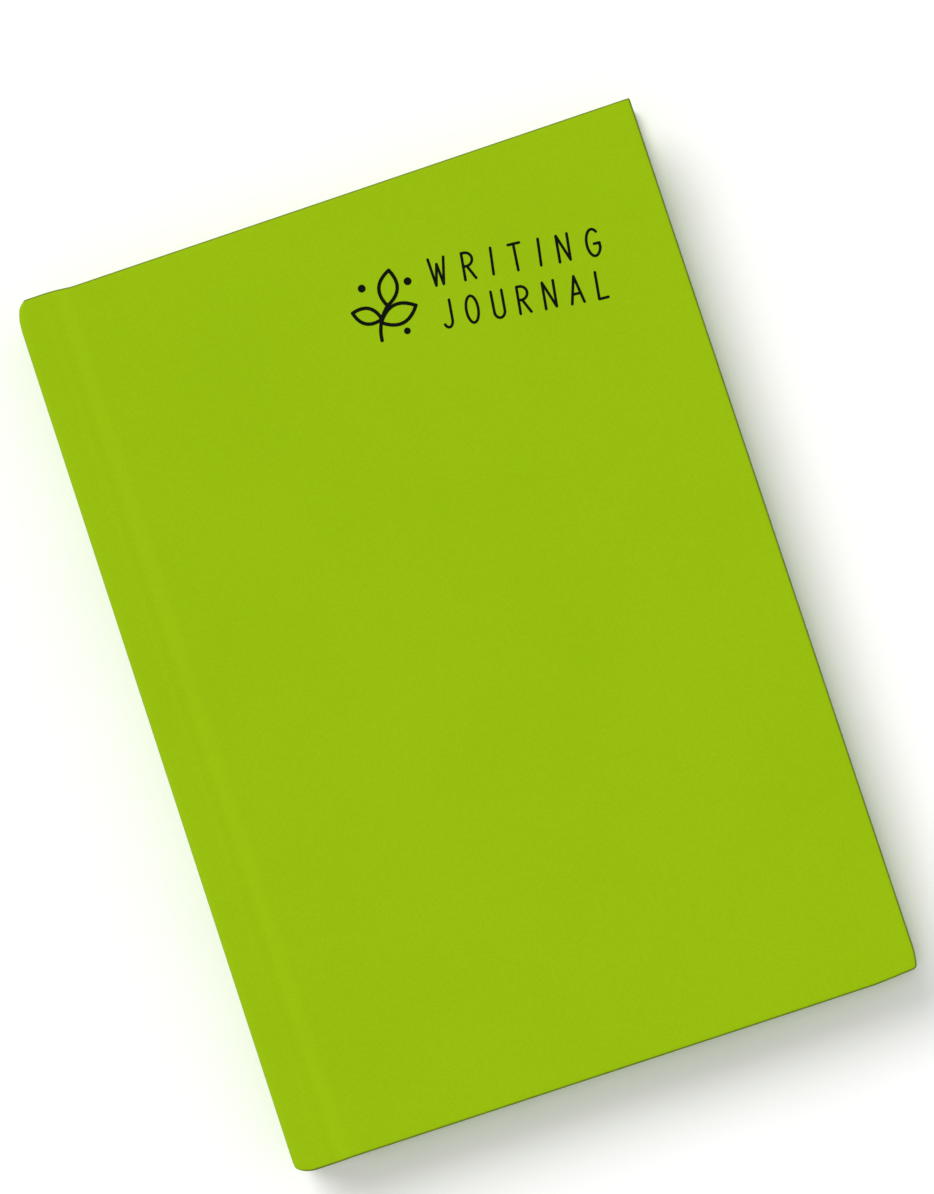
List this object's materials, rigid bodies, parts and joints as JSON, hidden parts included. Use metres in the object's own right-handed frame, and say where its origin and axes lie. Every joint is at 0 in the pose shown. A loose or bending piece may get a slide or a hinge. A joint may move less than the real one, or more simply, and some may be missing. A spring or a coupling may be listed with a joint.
{
  "type": "hardcover pocket notebook",
  "caption": "Casebound pocket notebook with cloth-covered boards, a flat folding spine, grooved joints, endpapers and a sewn page block that opens flat.",
  "frame": {"origin": "middle of the back cover's outer face, under the closed book", "axes": "+X from the spine to the fore edge, +Y from the tail to the head, +Z from the back cover to the front cover"},
  "size_m": [0.108, 0.1516, 0.0153],
  "materials": {
    "cover_cloth": "matte lime green book cloth with a fine even grain",
    "grey_board": "dense grey board",
    "page_paper": "smooth ivory writing paper",
    "endpaper": "smooth white endpaper",
    "kraft": "brown kraft lining paper",
    "gauze": "open woven binding gauze",
    "thread": "waxed linen thread",
    "band": "woven cotton headband"
  },
  "bodies": {
    "back_cover": {"back_board": "grey_board", "back_cloth": "cover_cloth", "mull_back_flange": "gauze", "back_pastedown": "endpaper", "back_flyleaf": "endpaper", "signature_1": "page_paper"},
    "spine": {"spine_cloth": "cover_cloth", "spine_board": "grey_board", "spine_lining": "kraft", "mull": "gauze", "headband": "band", "tailband": "band", "sewing_thread_1": "thread", "sewing_thread_2": "thread", "sewing_thread_3": "thread", "sewing_thread_4": "thread"},
    "front_hinge": {"front_joint_cloth": "cover_cloth", "front_endpaper_hinge": "endpaper", "signature_8": "page_paper"},
    "front_cover": {"front_board": "grey_board", "front_cloth": "cover_cloth", "mull_front_flange": "gauze", "front_pastedown": "endpaper"},
    "front_flyleaf": {"front_flyleaf": "endpaper"},
    "section_2": {"signature_2": "page_paper"},
    "section_3": {"signature_3": "page_paper"},
    "section_4": {"signature_4": "page_paper"},
    "section_5": {"signature_5": "page_paper"},
    "section_6": {"signature_6": "page_paper"},
    "section_7": {"signature_7": "page_paper"},
    "leaf_1": {"centre_leaf_1": "page_paper"},
    "leaf_2": {"centre_leaf_2": "page_paper"},
    "leaf_3": {"centre_leaf_3": "page_paper"}
  },
  "joints": [
    {"name": "spine_hinge", "type": "hinge", "parent": "back_cover", "child": "spine", "pos_m": [-0.0528, 0, 0.0012], "axis": [0, -1, 0], "range_deg": [0, 90]},
    {"name": "front_spine_fold", "type": "hinge", "parent": "spine", "child": "front_hinge", "pos_m": [-0.0528, 0, 0.01405], "axis": [0, -1, 0], "range_deg": [0, 90]},
    {"name": "front_cover_hinge", "type": "hinge", "parent": "front_hinge", "child": "front_cover", "pos_m": [-0.0463, 0, 0.0153], "axis": [0, 1, 0], "range_deg": [-179, 0]},
    {"name": "front_flyleaf_turn", "type": "hinge", "parent": "front_hinge", "child": "front_flyleaf", "pos_m": [-0.0456, 0, 0.01227], "axis": [0, 1, 0], "range_deg": [-20, 0]},
    {"name": "section_2_shear", "type": "slide", "parent": "back_cover", "child": "section_2", "axis": [-1, 0, 0], "range_m": [0, 0.00268]},
    {"name": "section_3_shear", "type": "slide", "parent": "back_cover", "child": "section_3", "axis": [-1, 0, 0], "range_m": [0, 0.00534]},
    {"name": "section_4_shear", "type": "slide", "parent": "back_cover", "child": "section_4", "axis": [-1, 0, 0], "range_m": [0, 0.00801]},
    {"name": "section_7_shear", "type": "slide", "parent": "front_hinge", "child": "section_7", "axis": [-1, 0, 0], "range_m": [0, 0.00268]},
    {"name": "section_6_shear", "type": "slide", "parent": "front_hinge", "child": "section_6", "axis": [-1, 0, 0], "range_m": [0, 0.00534]},
    {"name": "section_5_shear", "type": "slide", "parent": "front_hinge", "child": "section_5", "axis": [-1, 0, 0], "range_m": [0, 0.00801]},
    {"name": "leaf_1_turn", "type": "hinge", "parent": "section_4", "child": "leaf_1", "pos_m": [-0.0502, 0, 0.00739], "axis": [0, -1, 0], "range_deg": [0, 45]},
    {"name": "leaf_2_turn", "type": "hinge", "parent": "section_4", "child": "leaf_2", "pos_m": [-0.0505, 0, 0.00759], "axis": [0, -1, 0], "range_deg": [0, 90]},
    {"name": "leaf_3_turn", "type": "hinge", "parent": "section_4", "child": "leaf_3", "pos_m": [-0.0508, 0, 0.00779], "axis": [0, -1, 0], "range_deg": [0, 135]}
  ],
  "couplings": [
    {"joint": "front_spine_fold", "follows": "spine_hinge", "ratio": 1},
    {"joint": "front_flyleaf_turn", "follows": "front_cover_hinge", "ratio": 0.1},
    {"joint": "section_2_shear", "follows": "spine_hinge", "m_per_rad": 0.0016979},
    {"joint": "section_3_shear", "follows": "spine_hinge", "m_per_rad": 0.0033951},
    {"joint": "section_4_shear", "follows": "spine_hinge", "m_per_rad": 0.005093},
    {"joint": "section_7_shear", "follows": "spine_hinge", "m_per_rad": 0.0016979},
    {"joint": "section_6_shear", "follows": "spine_hinge", "m_per_rad": 0.0033951},
    {"joint": "section_5_shear", "follows": "spine_hinge", "m_per_rad": 0.005093},
    {"joint": "leaf_1_turn", "follows": "spine_hinge", "ratio": 0.5},
    {"joint": "leaf_2_turn", "follows": "spine_hinge", "ratio": 1},
    {"joint": "leaf_3_turn", "follows": "spine_hinge", "ratio": 1.5}
  ]
}
